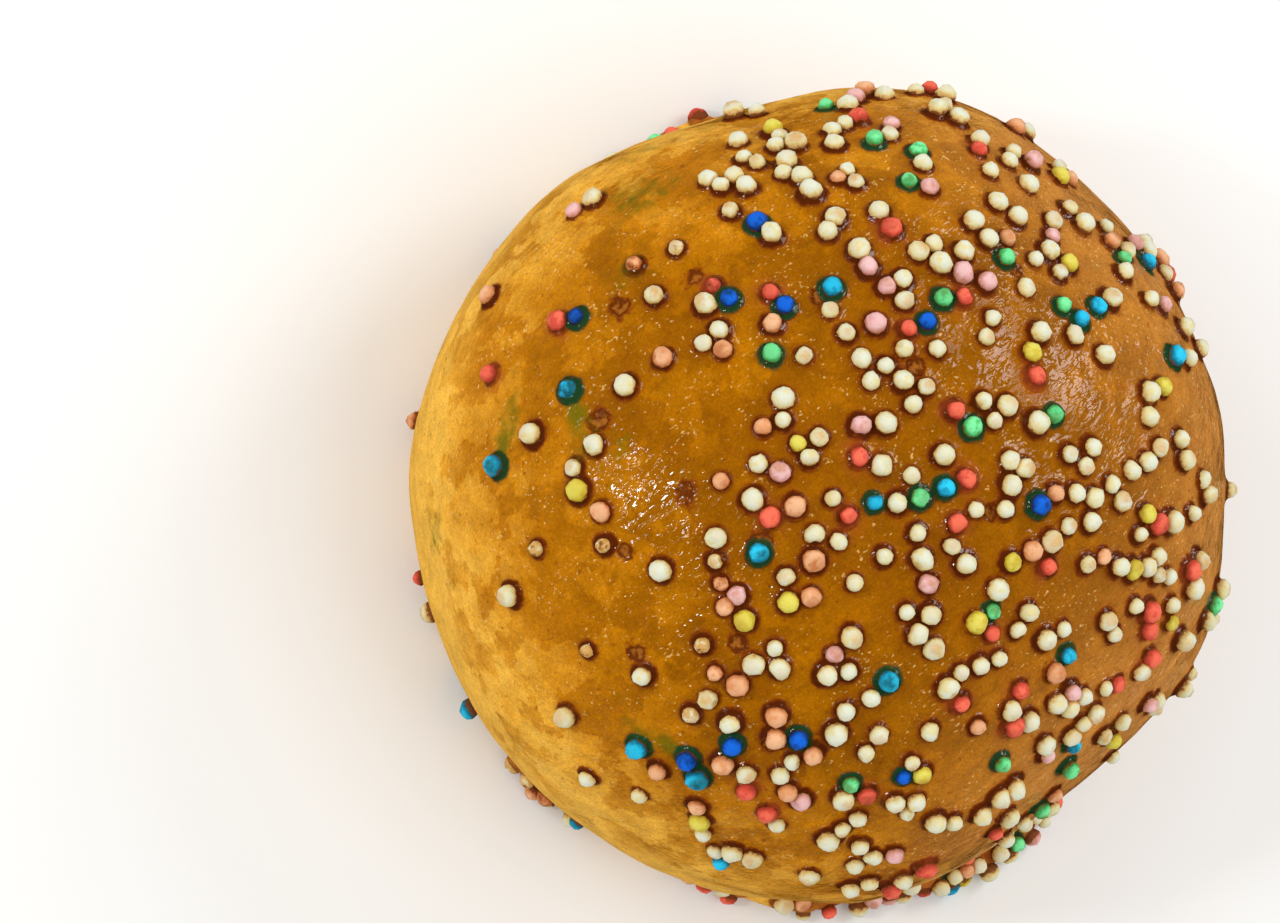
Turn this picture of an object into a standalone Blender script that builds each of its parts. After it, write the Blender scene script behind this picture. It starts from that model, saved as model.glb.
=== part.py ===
"""A soft milk-bread roll with confetti sugar beads baked onto its glazed crust.

The roll stands on its flat base, with the origin at the middle of that base and +Z up through
the crown. The crust is one closed skin: a broad dome, a side that bulges out to a waist and tucks
in again, and a foot where the dough and glaze spread on the tray into a lip. The beads lie thick
on one half of the dome and sparsely on the other, and more of them rolled down to the foot.
"""

import math
import random

import bmesh
import bpy
from mathutils import Matrix, Quaternion, Vector, noise

MM = 0.001

# The roll
ROLL_RADIUS = 41.0 * MM
ROLL_HEIGHT = 50.0 * MM
WAIST_HEIGHT = 17.0 * MM
BASE_RADIUS = 33.5 * MM
DOME_FULLNESS = 2.2
SIDE_FULLNESS = 2.0
LUMP_HEIGHT = 0.9 * MM
LUMP_LENGTH = 19.0 * MM
LUMP_FADE = 6.0 * MM

# Flats and bulges round the side: bearing, half-width and how far the side moves in or out
SIDE_SHAPES = (
    (28, 16, 0.8 * MM),
    (75, 14, 1.6 * MM),
    (112, 16, -0.8 * MM),
    (146, 14, 0.7 * MM),
    (185, 35, 0.5 * MM),
    (240, 26, -0.9 * MM),
    (308, 20, -3.0 * MM),
    (338, 12, 0.7 * MM),
)

# Where the foot spreads on the tray: bearing, half-width and how far beyond the tucked-in base.
# The side slumps outward for part of the spread, and a thin lip takes the rest.
FOOT_SPREADS = (
    (28, 14, 3.2 * MM),
    (103, 20, 7.4 * MM),
    (160, 12, 1.6 * MM),
    (228, 14, 2.6 * MM),
    (270, 11, 4.2 * MM),
    (306, 22, 11.4 * MM),
)
SLUMP_SHARE = 0.58
LIP_HEIGHT = 1.6 * MM
LIP_THICKNESS = 1.5 * MM
LIP_UNDERCUT = 0.2

# The sugar beads: mean radius, how far it varies, and how high a bead's middle stands over the
# crust as a share of its radius
BEAD_RADIUS = 0.97 * MM
BEAD_SPREAD = 0.17
BEAD_LIFT = (0.34, 0.68)
FLOOR_ROOM = 0.3 * MM

# Beads on the dome lie in clusters. Touching beads are BEAD_CONTACT of their radii's sum apart, no
# two are nearer than BEAD_ROOM, and clusters keep CLUSTER_ROOM between them. A cluster falls on
# the emptiest of CLUSTER_TRIES places. Where the cover is under THIN_COVER a bead lies alone, or
# in a pair if its cluster would have had more than PAIR_ABOVE.
DOME_BEADS = 410
BEAD_CONTACT = 0.84
BEAD_ROOM = 0.78
CLUSTER_ROOM = 1.42
CLUSTER_TRIES = 3
GROWTH_TRIES = 30
SCATTER_SEED = 39
SPARSE_COVER = 0.25
THICK_SIDE = (-0.62, -0.20)
FAR_SIDE = (0.20, 1.00)
FAR_LOSS = 0.86
BARE_RIM = (0.92, 1.00)
CLUSTER_SIZES = (1, 2, 3, 4, 5, 6, 8)
CLUSTER_WEIGHTS = (24, 24, 20, 13, 9, 7, 3)
THIN_COVER = 0.4
PAIR_ABOVE = 4

# Beads that rolled to the foot: bearing, half-width and number
FOOT_RUNS = (
    (2, 7, 6),
    (24, 9, 7),
    (48, 10, 6),
    (69, 6, 4),
    (103, 17, 12),
    (136, 5, 4),
    (170, 3, 2),
    (193, 4, 4),
    (212, 4, 3),
    (229, 7, 8),
    (258, 5, 5),
    (273, 5, 5),
    (289, 8, 16),
    (308, 11, 30),
    (328, 6, 8),
    (344, 5, 3),
)
FOOT_TURNS = (119, 139)
FOOT_LIFT = (0.5, 0.9)
FOOT_TRIES = 60

# The faceted solid
SKIN_SIDES = 44
DOME_RINGS = 9
SIDE_RING_TURNS = (98, 107, 116, 123, 129, 134, 139, 144)
BASE_TURN = 150
SOLID_BEADS = 262
SOLID_BEAD_SIZE = 1.06

CRUST_COLOUR = (0.50, 0.21, 0.030, 1)
CRUST_ROUGHNESS = 0.42


def smooth_step(low, high, value):
    share = min(1.0, max(0.0, (value - low) / (high - low)))
    return share * share * (3 - 2 * share)


def bell(bearing, middle, half_width):
    """1 at the middle bearing, and one half at half_width degrees to either side."""
    apart = (bearing - middle + 180) % 360 - 180
    return 0.5 ** ((apart / half_width) ** 2)


def waist_radius(bearing):
    return ROLL_RADIUS + sum(size * bell(bearing, at, width) for at, width, size in SIDE_SHAPES)


def foot_spread(bearing):
    return sum(size * bell(bearing, at, width) for at, width, size in FOOT_SPREADS)


def foot_radius(bearing):
    slump = SLUMP_SHARE * foot_spread(bearing)
    return BASE_RADIUS * waist_radius(bearing) / ROLL_RADIUS + slump


def lip_shift(bearing, height):
    """How far the foot's lip stands out at this bearing and height."""
    reach = (1 - SLUMP_SHARE) * foot_spread(bearing)
    if height < LIP_HEIGHT:
        return reach * (1 - LIP_UNDERCUT * (1 - height / LIP_HEIGHT) ** 2)
    return reach * math.exp(-(((height - LIP_HEIGHT) / LIP_THICKNESS) ** 2))


def skin(bearing, turn):
    """A point of the crust. turn runs in degrees from the crown, 0, over the waist, 90, and the
    edge of the base, BASE_TURN, to the middle of the base, 180."""
    waist, foot = waist_radius(bearing), foot_radius(bearing)
    if turn <= 90:
        angle = math.radians(turn)
        radius = waist * math.sin(angle) ** (2 / DOME_FULLNESS)
        rise = max(0.0, math.cos(angle)) ** (2 / DOME_FULLNESS)
        height = WAIST_HEIGHT + (ROLL_HEIGHT - WAIST_HEIGHT) * rise
    else:
        angle = math.radians(90 * min(1, (turn - 90) / (BASE_TURN - 90)))
        radius = foot + (waist - foot) * max(0.0, math.cos(angle)) ** (2 / SIDE_FULLNESS)
        height = WAIST_HEIGHT * max(0.0, 1 - math.sin(angle) ** (2 / SIDE_FULLNESS))
        radius += lip_shift(bearing, height)
        if turn > BASE_TURN:
            radius *= (180 - turn) / (180 - BASE_TURN)
    around = math.radians(bearing)
    point = Vector((radius * math.cos(around), radius * math.sin(around), height))
    lump = LUMP_HEIGHT * noise.noise(point / LUMP_LENGTH) * smooth_step(0, LUMP_FADE, height)
    return point + (point - Vector((0, 0, WAIST_HEIGHT))).normalized() * lump


def outward(bearing, turn):
    """The crust's outward direction at a point of it."""
    step = 0.5
    turn = max(turn, 2 * step)
    down = skin(bearing, turn + step) - skin(bearing, turn - step)
    along = skin(bearing + step, turn) - skin(bearing - step, turn)
    return down.cross(along).normalized()


def place_of(point):
    """The bearing and turn of the place on the dome or side that a nearby point belongs to."""
    bearing = math.degrees(math.atan2(point.y, point.x)) % 360
    waist, foot = waist_radius(bearing), foot_radius(bearing)
    radius = math.hypot(point.x, point.y)
    if point.z >= WAIST_HEIGHT:
        across = (radius / waist) ** (DOME_FULLNESS / 2)
        rise = ((point.z - WAIST_HEIGHT) / (ROLL_HEIGHT - WAIST_HEIGHT)) ** (DOME_FULLNESS / 2)
        return bearing, math.degrees(math.atan2(across, rise))
    drop = (1 - point.z / WAIST_HEIGHT) ** (SIDE_FULLNESS / 2)
    tuck = max(0.0, (radius - foot) / (waist - foot)) ** (SIDE_FULLNESS / 2)
    return bearing, 90 + (BASE_TURN - 90) * math.degrees(math.atan2(drop, tuck)) / 90


def cover(east, north):
    """How thickly beads lie at a place seen from above, given in shares of the roll's radius."""
    thick = smooth_step(*THICK_SIDE, east) * (1 - FAR_LOSS * smooth_step(*FAR_SIDE, east))
    rim = 1 - smooth_step(*BARE_RIM, math.hypot(east, north))
    return (SPARSE_COVER + (1 - SPARSE_COVER) * thick) * rim


def bead_at(draw, bearing, turn, lift=BEAD_LIFT):
    """A bead's middle, radius and outward direction where it stands on the crust."""
    radius = BEAD_RADIUS * (1 + draw.uniform(-BEAD_SPREAD, BEAD_SPREAD))
    way = outward(bearing, turn)
    middle = skin(bearing, turn) + way * draw.uniform(*lift) * radius
    middle.z = max(middle.z, radius * SOLID_BEAD_SIZE + FLOOR_ROOM)
    return middle, radius, way


def has_room(bead, beads, share):
    return all((bead[0] - other[0]).length > share * (bead[1] + other[1]) for other in beads)


def bead_beside(draw, cluster):
    """A bead that touches one of the cluster's, in any direction over the crust."""
    middle, radius, way = draw.choice(cluster)
    side = way.orthogonal()
    side.rotate(Quaternion(way, draw.uniform(0, 2 * math.pi)))
    spot = middle + side * BEAD_CONTACT * (radius + BEAD_RADIUS)
    return bead_at(draw, *place_of(spot))


def grown_cluster(draw, first, size, beads):
    cluster = [first]
    for _ in range(GROWTH_TRIES * size):
        bead = bead_beside(draw, cluster)
        apart = has_room(bead, beads, CLUSTER_ROOM)
        if len(cluster) < size and apart and has_room(bead, cluster, BEAD_ROOM):
            cluster.append(bead)
    return cluster


def dome_place(draw):
    """A place on the dome, drawn as thickly as the cover says: its cover, bearing and turn."""
    while True:
        east, north = draw.uniform(-1, 1), draw.uniform(-1, 1)
        share = math.hypot(east, north)
        if share < 1 and draw.random() < cover(east, north):
            turn = math.degrees(math.asin(share ** (DOME_FULLNESS / 2)))
            return cover(east, north), math.degrees(math.atan2(north, east)) % 360, turn


def emptiness(bead, beads):
    return min([(bead[0] - other[0]).length for other in beads], default=0)


def dome_beads(draw):
    """Clusters of beads strewn over the dome, thick on one half and sparse on the other."""
    beads = []
    while len(beads) < DOME_BEADS:
        places = [dome_place(draw) for _ in range(CLUSTER_TRIES)]
        tries = [(bead_at(draw, bearing, turn), share) for share, bearing, turn in places]
        first, share = max(tries, key=lambda found: emptiness(found[0], beads) * found[1] ** 0.5)
        size = draw.choices(CLUSTER_SIZES, CLUSTER_WEIGHTS)[0]
        if share < THIN_COVER:
            size = 2 if size > PAIR_ABOVE else 1
        if has_room(first, beads, CLUSTER_ROOM):
            beads += grown_cluster(draw, first, size, beads)
    return beads


def foot_beads(draw):
    """Beads that rolled down and baked on at the foot, in runs."""
    beads = []
    for at, width, number in FOOT_RUNS:
        wanted = len(beads) + number
        for _ in range(FOOT_TRIES * number):
            bearing, turn = at + draw.uniform(-width, width), draw.uniform(*FOOT_TURNS)
            bead = bead_at(draw, bearing, turn, FOOT_LIFT)
            if len(beads) < wanted and has_room(bead, beads, BEAD_ROOM):
                beads.append(bead)
    return beads


def scattered_beads():
    draw = random.Random(SCATTER_SEED)
    return dome_beads(draw) + foot_beads(draw)


def mesh_object(name, shape, collection):
    """A new object from a bmesh, in a collection."""
    mesh = bpy.data.meshes.new(name)
    shape.to_mesh(mesh)
    shape.free()
    made = bpy.data.objects.new(name, mesh)
    collection.objects.link(made)
    return made


def crust_body():
    """The bare roll: a sphere of rings whose points are moved onto the crust."""
    dome_turns = [90 * (ring + 1) / DOME_RINGS for ring in range(DOME_RINGS)]
    turns = [0, *dome_turns, *SIDE_RING_TURNS, BASE_TURN, 180]
    shape = bmesh.new()
    bmesh.ops.create_uvsphere(
        shape, u_segments=SKIN_SIDES, v_segments=len(turns) - 1, radius=1
    )
    for vertex in shape.verts:
        ring = round(math.acos(max(-1, min(1, vertex.co.z))) / math.pi * (len(turns) - 1))
        bearing = math.degrees(math.atan2(vertex.co.y, vertex.co.x))
        vertex.co = skin(bearing, turns[ring])
    bmesh.ops.triangulate(shape, faces=shape.faces)
    bmesh.ops.recalc_face_normals(shape, faces=shape.faces)
    return mesh_object("roll", shape, bpy.context.scene.collection)


def bead_bodies(beads, collection):
    """The largest beads as small faceted balls, each with one corner straight outward."""
    largest = sorted(beads, key=lambda bead: bead[1], reverse=True)[:SOLID_BEADS]
    for number, (middle, radius, way) in enumerate(largest):
        shape = bmesh.new()
        place = Matrix.LocRotScale(middle, way.to_track_quat("Z", "Y"), None)
        size = radius * SOLID_BEAD_SIZE
        bmesh.ops.create_icosphere(shape, subdivisions=1, radius=size, matrix=place)
        mesh_object(f"bead_{number}", shape, collection)


def fuse(body, collection):
    """Joins all of a collection's bodies to one body, and removes them."""
    union = body.modifiers.new("Fused beads", "BOOLEAN")
    union.operation = "UNION"
    union.operand_type = "COLLECTION"
    union.collection = collection
    union.solver = "EXACT"
    bpy.context.view_layer.objects.active = body
    bpy.ops.object.modifier_apply(modifier=union.name)
    for used in list(collection.objects):
        bpy.data.objects.remove(used)
    bpy.data.collections.remove(collection)


def drop_scraps(body):
    """Keeps the largest connected piece of the body."""
    shape = bmesh.new()
    shape.from_mesh(body.data)
    waiting = set(shape.verts)
    pieces = []
    while waiting:
        piece = [waiting.pop()]
        for vertex in piece:
            found = {edge.other_vert(vertex) for edge in vertex.link_edges} & waiting
            piece.extend(found)
            waiting -= found
        pieces.append(piece)
    pieces.sort(key=len)
    for scrap in pieces[:-1]:
        bmesh.ops.delete(shape, geom=scrap, context="VERTS")
    shape.to_mesh(body.data)
    shape.free()


def crust_material():
    """Egg-washed crust, a glossy browned gold."""
    material = bpy.data.materials.new("Glazed crust")
    material.use_nodes = True
    shader = material.node_tree.nodes["Principled BSDF"]
    shader.inputs["Base Color"].default_value = CRUST_COLOUR
    shader.inputs["Roughness"].default_value = CRUST_ROUGHNESS
    shader.inputs["Metallic"].default_value = 0
    return material


def build():
    for existing in list(bpy.data.objects):
        bpy.data.objects.remove(existing)
    roll = crust_body()
    topping = bpy.data.collections.new("Sugar beads")
    bpy.context.scene.collection.children.link(topping)
    bead_bodies(scattered_beads(), topping)
    fuse(roll, topping)
    drop_scraps(roll)
    roll.data.materials.clear()
    roll.data.materials.append(crust_material())
    roll.data.shade_smooth()
    roll.data.set_sharp_from_angle(angle=math.radians(30))


build()
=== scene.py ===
import math
import random

import bpy
import numpy as np
from mathutils import Matrix, Quaternion, Vector, kdtree, noise


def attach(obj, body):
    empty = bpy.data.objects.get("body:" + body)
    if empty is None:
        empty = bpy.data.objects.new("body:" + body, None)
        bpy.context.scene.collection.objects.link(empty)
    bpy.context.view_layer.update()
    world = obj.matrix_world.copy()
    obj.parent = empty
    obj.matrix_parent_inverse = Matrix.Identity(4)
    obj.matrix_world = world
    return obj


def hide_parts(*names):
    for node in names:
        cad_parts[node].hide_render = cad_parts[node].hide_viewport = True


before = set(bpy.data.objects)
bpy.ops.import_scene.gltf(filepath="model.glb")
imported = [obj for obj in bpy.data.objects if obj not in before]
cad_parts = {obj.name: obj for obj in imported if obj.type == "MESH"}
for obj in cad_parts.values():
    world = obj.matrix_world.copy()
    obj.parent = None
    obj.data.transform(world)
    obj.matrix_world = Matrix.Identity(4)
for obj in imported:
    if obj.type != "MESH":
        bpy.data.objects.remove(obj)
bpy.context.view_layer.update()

# The form of the roll
# A soft milk dough, proved into a ball and baked on a flat tray: a broad dome, a side that bulges
# and tucks in, and a foot where dough and glaze spread into a lip. skin() gives any point of it.

MM = 0.001
ROLL_RADIUS = 41.0 * MM
ROLL_HEIGHT = 50.0 * MM
WAIST_HEIGHT = 17.0 * MM
BASE_RADIUS = 33.5 * MM
DOME_FULLNESS = 2.2
SIDE_FULLNESS = 2.0
LUMP_HEIGHT = 0.9 * MM
LUMP_LENGTH = 19.0 * MM
LUMP_FADE = 6.0 * MM
BASE_TURN = 150

# Flats and bulges round the side: bearing, half-width and how far the side moves in or out
SIDE_SHAPES = (
    (28, 16, 0.8 * MM),
    (75, 14, 1.6 * MM),
    (112, 16, -0.8 * MM),
    (146, 14, 0.7 * MM),
    (185, 35, 0.5 * MM),
    (240, 26, -0.9 * MM),
    (308, 20, -3.0 * MM),
    (338, 12, 0.7 * MM),
)

# Where the foot spreads on the tray: bearing, half-width and how far beyond the tucked-in base
FOOT_SPREADS = (
    (28, 14, 3.2 * MM),
    (103, 20, 7.4 * MM),
    (160, 12, 1.6 * MM),
    (228, 14, 2.6 * MM),
    (270, 11, 4.2 * MM),
    (306, 22, 11.4 * MM),
)
SLUMP_SHARE = 0.58
LIP_HEIGHT = 1.6 * MM
LIP_THICKNESS = 1.5 * MM
LIP_UNDERCUT = 0.2


def smooth_step(low, high, value):
    share = min(1.0, max(0.0, (value - low) / (high - low)))
    return share * share * (3 - 2 * share)


def bell(bearing, middle, half_width):
    """1 at the middle bearing, and one half at half_width degrees to either side."""
    apart = (bearing - middle + 180) % 360 - 180
    return 0.5 ** ((apart / half_width) ** 2)


def waist_radius(bearing):
    return ROLL_RADIUS + sum(size * bell(bearing, at, width) for at, width, size in SIDE_SHAPES)


def foot_spread(bearing):
    return sum(size * bell(bearing, at, width) for at, width, size in FOOT_SPREADS)


def foot_radius(bearing):
    slump = SLUMP_SHARE * foot_spread(bearing)
    return BASE_RADIUS * waist_radius(bearing) / ROLL_RADIUS + slump


def lip_shift(bearing, height):
    """How far the foot's lip stands out at this bearing and height."""
    reach = (1 - SLUMP_SHARE) * foot_spread(bearing)
    if height < LIP_HEIGHT:
        return reach * (1 - LIP_UNDERCUT * (1 - height / LIP_HEIGHT) ** 2)
    return reach * math.exp(-(((height - LIP_HEIGHT) / LIP_THICKNESS) ** 2))


def skin(bearing, turn):
    """A point of the crust. turn runs in degrees from the crown, 0, over the waist, 90, and the
    edge of the base, BASE_TURN, to the middle of the base, 180."""
    waist, foot = waist_radius(bearing), foot_radius(bearing)
    if turn <= 90:
        angle = math.radians(turn)
        radius = waist * math.sin(angle) ** (2 / DOME_FULLNESS)
        rise = max(0.0, math.cos(angle)) ** (2 / DOME_FULLNESS)
        height = WAIST_HEIGHT + (ROLL_HEIGHT - WAIST_HEIGHT) * rise
    else:
        angle = math.radians(90 * min(1, (turn - 90) / (BASE_TURN - 90)))
        radius = foot + (waist - foot) * max(0.0, math.cos(angle)) ** (2 / SIDE_FULLNESS)
        height = WAIST_HEIGHT * max(0.0, 1 - math.sin(angle) ** (2 / SIDE_FULLNESS))
        radius += lip_shift(bearing, height)
        if turn > BASE_TURN:
            radius *= (180 - turn) / (180 - BASE_TURN)
    around = math.radians(bearing)
    point = Vector((radius * math.cos(around), radius * math.sin(around), height))
    lump = LUMP_HEIGHT * noise.noise(point / LUMP_LENGTH) * smooth_step(0, LUMP_FADE, height)
    return point + (point - Vector((0, 0, WAIST_HEIGHT))).normalized() * lump


def outward(bearing, turn):
    """The crust's outward direction at a point of it."""
    step = 0.5
    turn = max(turn, 2 * step)
    down = skin(bearing, turn + step) - skin(bearing, turn - step)
    along = skin(bearing + step, turn) - skin(bearing - step, turn)
    return down.cross(along).normalized()


def place_of(point):
    """The bearing and turn of the place on the dome or side that a nearby point belongs to."""
    bearing = math.degrees(math.atan2(point.y, point.x)) % 360
    waist, foot = waist_radius(bearing), foot_radius(bearing)
    radius = math.hypot(point.x, point.y)
    if point.z >= WAIST_HEIGHT:
        across = (radius / waist) ** (DOME_FULLNESS / 2)
        rise = ((point.z - WAIST_HEIGHT) / (ROLL_HEIGHT - WAIST_HEIGHT)) ** (DOME_FULLNESS / 2)
        return bearing, math.degrees(math.atan2(across, rise))
    drop = (1 - point.z / WAIST_HEIGHT) ** (SIDE_FULLNESS / 2)
    tuck = max(0.0, (radius - foot) / (waist - foot)) ** (SIDE_FULLNESS / 2)
    return bearing, 90 + (BASE_TURN - 90) * math.degrees(math.atan2(drop, tuck)) / 90


# Where the sugar beads lie
# Nonpareils strewn by hand over the wet egg wash: thick on one half of the dome, in clusters that
# touch, sparse on the other half, and in runs along the foot where they rolled down.

# A bead's radius and the share by which it varies, how far its middle stands off the crust in
# shares of its radius, and what keeps the lowest beads off the floor
BEAD_RADIUS = 0.97 * MM
BEAD_SPREAD = 0.17
BEAD_LIFT = (0.34, 0.68)
BEAD_HEADROOM = 1.06
FLOOR_ROOM = 0.3 * MM

# Beads on the dome lie in clusters. Touching beads are BEAD_CONTACT of their radii's sum apart, no
# two are nearer than BEAD_ROOM, and clusters keep CLUSTER_ROOM between them. A cluster falls on
# the emptiest of CLUSTER_TRIES places. Where the cover is under THIN_COVER a bead lies alone, or
# in a pair if its cluster would have had more than PAIR_ABOVE.
DOME_BEADS = 410
BEAD_CONTACT = 0.84
BEAD_ROOM = 0.78
CLUSTER_ROOM = 1.42
CLUSTER_TRIES = 3
GROWTH_TRIES = 30
CLUSTER_SIZES = (1, 2, 3, 4, 5, 6, 8)
CLUSTER_WEIGHTS = (24, 24, 20, 13, 9, 7, 3)
THIN_COVER = 0.4
PAIR_ABOVE = 4
SCATTER_SEED = 39

# The cover on the sparse side, where it rises to the thick side and falls off again, how much it
# falls off, and the bare rim. Places are in shares of the roll's radius.
SPARSE_COVER = 0.25
THICK_SIDE = (-0.62, -0.20)
FAR_SIDE = (0.20, 1.00)
FAR_LOSS = 0.86
BARE_RIM = (0.92, 1.00)

# Beads that rolled to the foot: each run's bearing, half-width and number of beads
FOOT_RUNS = (
    (2, 7, 6),
    (24, 9, 7),
    (48, 10, 6),
    (69, 6, 4),
    (103, 17, 12),
    (136, 5, 4),
    (170, 3, 2),
    (193, 4, 4),
    (212, 4, 3),
    (229, 7, 8),
    (258, 5, 5),
    (273, 5, 5),
    (289, 8, 16),
    (308, 11, 30),
    (328, 6, 8),
    (344, 5, 3),
)
FOOT_TURNS = (119, 139)
FOOT_LIFT = (0.5, 0.9)
FOOT_TRIES = 60


def cover(east, north):
    """How thickly beads lie at a place seen from above, given in shares of the roll's radius."""
    thick = smooth_step(*THICK_SIDE, east) * (1 - FAR_LOSS * smooth_step(*FAR_SIDE, east))
    tan_and_sheen_rim = 1 - smooth_step(*BARE_RIM, math.hypot(east, north))
    return (SPARSE_COVER + (1 - SPARSE_COVER) * thick) * tan_and_sheen_rim


def bead_at(draw, bearing, turn, lift=BEAD_LIFT):
    """A bead's middle, radius and outward direction where it stands on the crust."""
    radius = BEAD_RADIUS * (1 + draw.uniform(-BEAD_SPREAD, BEAD_SPREAD))
    way = outward(bearing, turn)
    middle = skin(bearing, turn) + way * draw.uniform(*lift) * radius
    middle.z = max(middle.z, radius * BEAD_HEADROOM + FLOOR_ROOM)
    return middle, radius, way


def has_room(bead, beads, share):
    return all((bead[0] - other[0]).length > share * (bead[1] + other[1]) for other in beads)


def bead_beside(draw, cluster):
    """A bead that touches one of the cluster's, in any direction over the crust."""
    middle, radius, way = draw.choice(cluster)
    side = way.orthogonal()
    side.rotate(Quaternion(way, draw.uniform(0, 2 * math.pi)))
    spot = middle + side * BEAD_CONTACT * (radius + BEAD_RADIUS)
    return bead_at(draw, *place_of(spot))


def grown_cluster(draw, first, size, beads):
    cluster = [first]
    for _ in range(GROWTH_TRIES * size):
        bead = bead_beside(draw, cluster)
        apart = has_room(bead, beads, CLUSTER_ROOM)
        if len(cluster) < size and apart and has_room(bead, cluster, BEAD_ROOM):
            cluster.append(bead)
    return cluster


def dome_place(draw):
    """A place on the dome, drawn as thickly as the cover says: its cover, bearing and turn."""
    while True:
        east, north = draw.uniform(-1, 1), draw.uniform(-1, 1)
        share = math.hypot(east, north)
        if share < 1 and draw.random() < cover(east, north):
            turn = math.degrees(math.asin(share ** (DOME_FULLNESS / 2)))
            return cover(east, north), math.degrees(math.atan2(north, east)) % 360, turn


def emptiness(bead, beads):
    return min([(bead[0] - other[0]).length for other in beads], default=0)


def dome_beads(draw):
    """Clusters of beads strewn over the dome, thick on one half and sparse on the other."""
    beads = []
    while len(beads) < DOME_BEADS:
        places = [dome_place(draw) for _ in range(CLUSTER_TRIES)]
        tries = [(bead_at(draw, bearing, turn), share) for share, bearing, turn in places]
        first, share = max(tries, key=lambda found: emptiness(found[0], beads) * found[1] ** 0.5)
        size = draw.choices(CLUSTER_SIZES, CLUSTER_WEIGHTS)[0]
        if share < THIN_COVER:
            size = 2 if size > PAIR_ABOVE else 1
        if has_room(first, beads, CLUSTER_ROOM):
            beads += grown_cluster(draw, first, size, beads)
    return beads


def foot_beads(draw):
    """Beads that rolled down and baked on at the foot, in runs."""
    beads = []
    for at, width, number in FOOT_RUNS:
        wanted = len(beads) + number
        for _ in range(FOOT_TRIES * number):
            bearing, turn = at + draw.uniform(-width, width), draw.uniform(*FOOT_TURNS)
            bead = bead_at(draw, bearing, turn, FOOT_LIFT)
            if len(beads) < wanted and has_room(bead, beads, BEAD_ROOM):
                beads.append(bead)
    return beads


scatter = random.Random(SCATTER_SEED)
beads = dome_beads(scatter) + foot_beads(scatter)

# Each bead's sugar, by the shares in the mix, which differ on the sparse side
SUGARS = ("cream", "red", "pink", "peach", "green", "yellow", "cyan", "blue")
SUGAR_SHARES = (58, 12, 9, 6, 5, 4.5, 3, 2)
SPARSE_SUGAR_SHARES = (48, 10, 4, 14, 3, 3, 11, 7)
GREEN_DYES = ("green", "cyan", "blue")
SPARSE_EDGE = -0.45 * ROLL_RADIUS
MIX_SEED = 7
mixing = random.Random(MIX_SEED)
sugars = []
for middle, _, _ in beads:
    sparse = middle.x < SPARSE_EDGE
    shares = SPARSE_SUGAR_SHARES if sparse else SUGAR_SHARES
    sugars += mixing.choices(SUGARS, shares)

# The crust
# The outside of the bread: dough browned under egg wash, with glaze drawn up into a collar round
# every bead. One closed piece, finest where the collars are, and it stands for the solid roll.

SKIN_CUTS = 56
FINE_REACHES = (2.6 * MM, 1.75 * MM)
WAIST_POLAR = 92
BASE_POLAR = 124


def skin_toward(way):
    """The crust's point for a direction from the middle of a ball, so that the ball's faces
    spread evenly over dome, side and base."""
    polar = math.degrees(math.acos(max(-1, min(1, way.z))))
    turn = np.interp(polar, (0, WAIST_POLAR, BASE_POLAR, 180), (0, 90, BASE_TURN, 180))
    return skin(math.degrees(math.atan2(way.y, way.x)), float(turn))


# The beads' middles, to look up those near a point
feet = kdtree.KDTree(len(beads))
for number, (middle, _, _) in enumerate(beads):
    feet.insert(middle, number)
feet.balance()

bpy.ops.object.select_all(action="DESELECT")
bpy.ops.mesh.primitive_cube_add(size=2)
crust = bpy.context.object
crust.name = "crust"
crust.data.name = "crust"
bpy.ops.object.mode_set(mode="EDIT")
bpy.ops.mesh.subdivide(number_cuts=SKIN_CUTS)
bpy.ops.transform.tosphere(value=1)
for reach in FINE_REACHES:
    bpy.ops.mesh.select_mode(type="FACE")
    bpy.ops.mesh.select_all(action="DESELECT")
    bpy.ops.object.mode_set(mode="OBJECT")
    for face in crust.data.polygons:
        face.select = feet.find(skin_toward(face.center.normalized()))[2] < reach
    bpy.ops.object.mode_set(mode="EDIT")
    bpy.ops.mesh.subdivide(number_cuts=1)
bpy.ops.object.mode_set(mode="OBJECT")
for vertex in crust.data.vertices:
    vertex.co = skin_toward(vertex.co.normalized())
crust.data.update()

# Beads that broke off before the roll was sold left small brown craters on the sparse side:
# bearing, turn and radius
SCARS = (
    (150, 47, 1.1 * MM),
    (138, 40, 0.9 * MM),
    (171, 44, 1.2 * MM),
    (186, 30, 1.0 * MM),
    (196, 41, 0.8 * MM),
    (204, 22, 1.1 * MM),
    (214, 47, 0.9 * MM),
    (224, 33, 1.0 * MM),
    (120, 26, 0.9 * MM),
    (243, 43, 0.8 * MM),
    (95, 12, 1.0 * MM),
    (330, 9, 0.9 * MM),
    (18, 36, 1.0 * MM),
    (62, 31, 0.8 * MM),
)
# A scar's depth and the height of its rim, and in shares of its radius the rim's half-width, the
# scar's edge and how far any of it reaches
SCAR_DEPTH = 0.22 * MM
SCAR_RIM = 0.24 * MM
SCAR_RIM_WIDTH = 0.35
SCAR_EDGE = 1.1
SCAR_REACH = 3

# Olive haze that wet dye left on the pale side: bearing, turn, radius and strength
HAZES = (
    (131, 60, 4.2 * MM, 0.50),
    (124, 74, 3.0 * MM, 0.42),
    (143, 50, 2.6 * MM, 0.40),
    (186, 86, 2.6 * MM, 0.60),
    (176, 40, 2.0 * MM, 0.35),
)

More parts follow.
